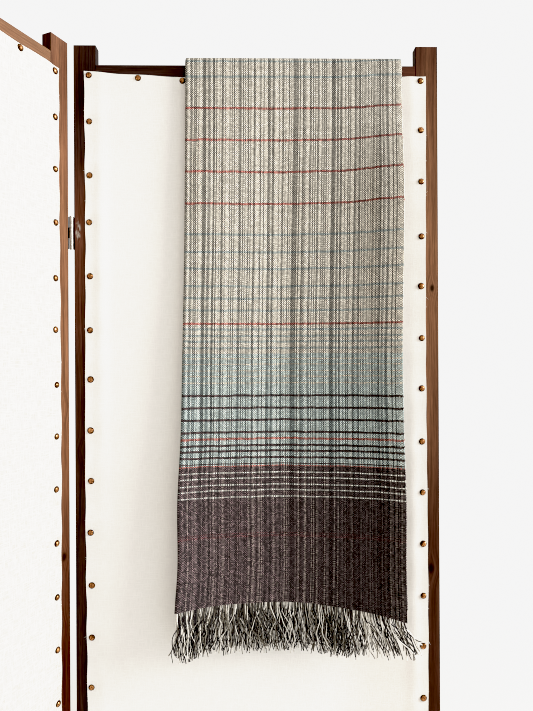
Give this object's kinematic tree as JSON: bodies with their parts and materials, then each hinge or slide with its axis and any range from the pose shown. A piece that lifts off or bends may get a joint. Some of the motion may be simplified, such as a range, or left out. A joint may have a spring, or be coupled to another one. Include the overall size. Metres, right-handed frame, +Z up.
{
  "type": "throw blanket on folding screen",
  "caption": "Striped woven throw with fringed ends, folded lengthwise and hung over the top rail of a canvas folding screen.",
  "frame": {"origin": "centre of the foot of the main panel's hinge-side post, on the floor", "axes": "+Z up; +X along the main panel from its hinge side to its free side; +Y away from the viewer, so the canvas, the nails and the throw's long end face -Y"},
  "size_m": [0.9214, 0.6362, 1.72],
  "materials": {
    "throw": "soft plain weave with streaked warp and blended stripes",
    "fringe": "loose cut yarn ends in cream, charcoal and olive grey",
    "canvas": "unbleached canvas",
    "main_wood": "dark red-brown stain, satin",
    "main_free_wood": "mid-brown stain with grain showing, satin",
    "wing_wood": "red-brown stain with knots, satin",
    "steel": "bright, slightly worn",
    "nails": "antique, domed"
  },
  "bodies": {
    "main_panel": {"throw_cloth": "throw", "fringe_front": "fringe", "fringe_back": "fringe", "main_post_hinge": "main_wood", "main_post_free": "main_free_wood", "main_rail_top": "main_wood", "main_rail_bottom": "main_wood", "main_canvas": "canvas", "hinge_upper_main_leaf": "steel", "hinge_upper_pin": "steel", "hinge_lower_main_leaf": "steel", "hinge_lower_pin": "steel"},
    "wing_panel": {"wing_post_hinge": "wing_wood", "wing_post_free": "wing_wood", "wing_rail_top": "wing_wood", "wing_rail_bottom": "wing_wood", "wing_canvas": "canvas", "hinge_upper_wing_leaf": "steel", "hinge_lower_wing_leaf": "steel"}
  },
  "joints": [
    {"name": "screen_fold", "type": "hinge", "parent": "main_panel", "child": "wing_panel", "pos_m": [-0.0229, -0.0125, 0], "axis": [0, 0, 1], "range_deg": [-65, 90]}
  ]
}
